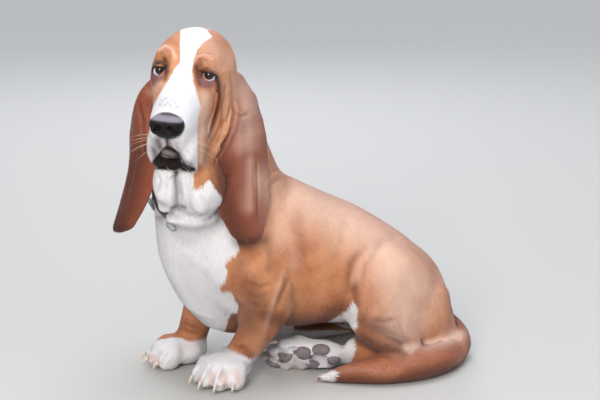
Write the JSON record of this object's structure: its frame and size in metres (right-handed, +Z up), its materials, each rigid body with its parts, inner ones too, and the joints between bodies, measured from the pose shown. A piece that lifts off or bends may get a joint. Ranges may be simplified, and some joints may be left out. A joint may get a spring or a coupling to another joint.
{
  "type": "basset hound",
  "caption": "Life-size still model of a basset hound sitting on its haunches, head turned to its left, long ears hanging, hind feet and tail brought forward, with a plain collar.",
  "frame": {"origin": "on the floor under the seat, on the flat of the rump", "axes": "-Y the way the chest faces, +X the dog's left, +Z up"},
  "size_m": [0.3238, 0.614, 0.603],
  "materials": {
    "coat_tan": "short dense tan fur",
    "coat_red": "short soft red-brown fur",
    "coat_white": "short white fur",
    "nose_leather": "moist pebbled dark skin",
    "claw_horn": "translucent pale horn",
    "paw_pad": "rough grey pad skin",
    "eye": "wet clear surface over a dark brown iris",
    "collar_leather": "worn black leather",
    "collar_steel": "satin"
  },
  "bodies": {
    "root": {"chest": "coat_tan", "claw_fore_left_1": "claw_horn", "claw_fore_left_2": "claw_horn", "claw_fore_left_3": "claw_horn", "claw_fore_left_4": "claw_horn", "claw_fore_right_1": "claw_horn", "claw_fore_right_2": "claw_horn", "claw_fore_right_3": "claw_horn", "claw_fore_right_4": "claw_horn", "claw_hind_left_1": "claw_horn", "claw_hind_left_2": "claw_horn", "claw_hind_left_3": "claw_horn", "claw_hind_left_4": "claw_horn", "claw_hind_right_1": "claw_horn", "claw_hind_right_2": "claw_horn", "claw_hind_right_3": "claw_horn", "claw_hind_right_4": "claw_horn", "collar_buckle": "collar_steel", "collar_ring": "collar_steel", "collar_strap": "collar_leather", "ear_left": "coat_red", "ear_right": "coat_red", "eye_left": "eye", "eye_right": "eye", "forearm_left": "coat_tan", "forearm_right": "coat_tan", "head": "coat_tan", "hock_left": "coat_tan", "hock_right": "coat_tan", "jaw": "nose_leather", "loin": "coat_tan", "neck": "coat_tan", "nose": "nose_leather", "pad_hind_left_1": "paw_pad", "pad_hind_left_2": "paw_pad", "pad_hind_left_3": "paw_pad", "pad_hind_left_4": "paw_pad", "pad_hind_left_5": "paw_pad", "paw_fore_left": "coat_white", "paw_fore_right": "coat_white", "paw_hind_left": "coat_white", "paw_hind_right": "coat_white", "rump": "coat_tan", "shank_left": "coat_tan", "shank_right": "coat_tan", "tail_end": "coat_tan", "tail_middle": "coat_tan", "tail_root": "coat_tan", "thigh_left": "coat_tan", "thigh_right": "coat_tan", "upper_arm_left": "coat_tan", "upper_arm_right": "coat_tan"}
  },
  "joints": []
}
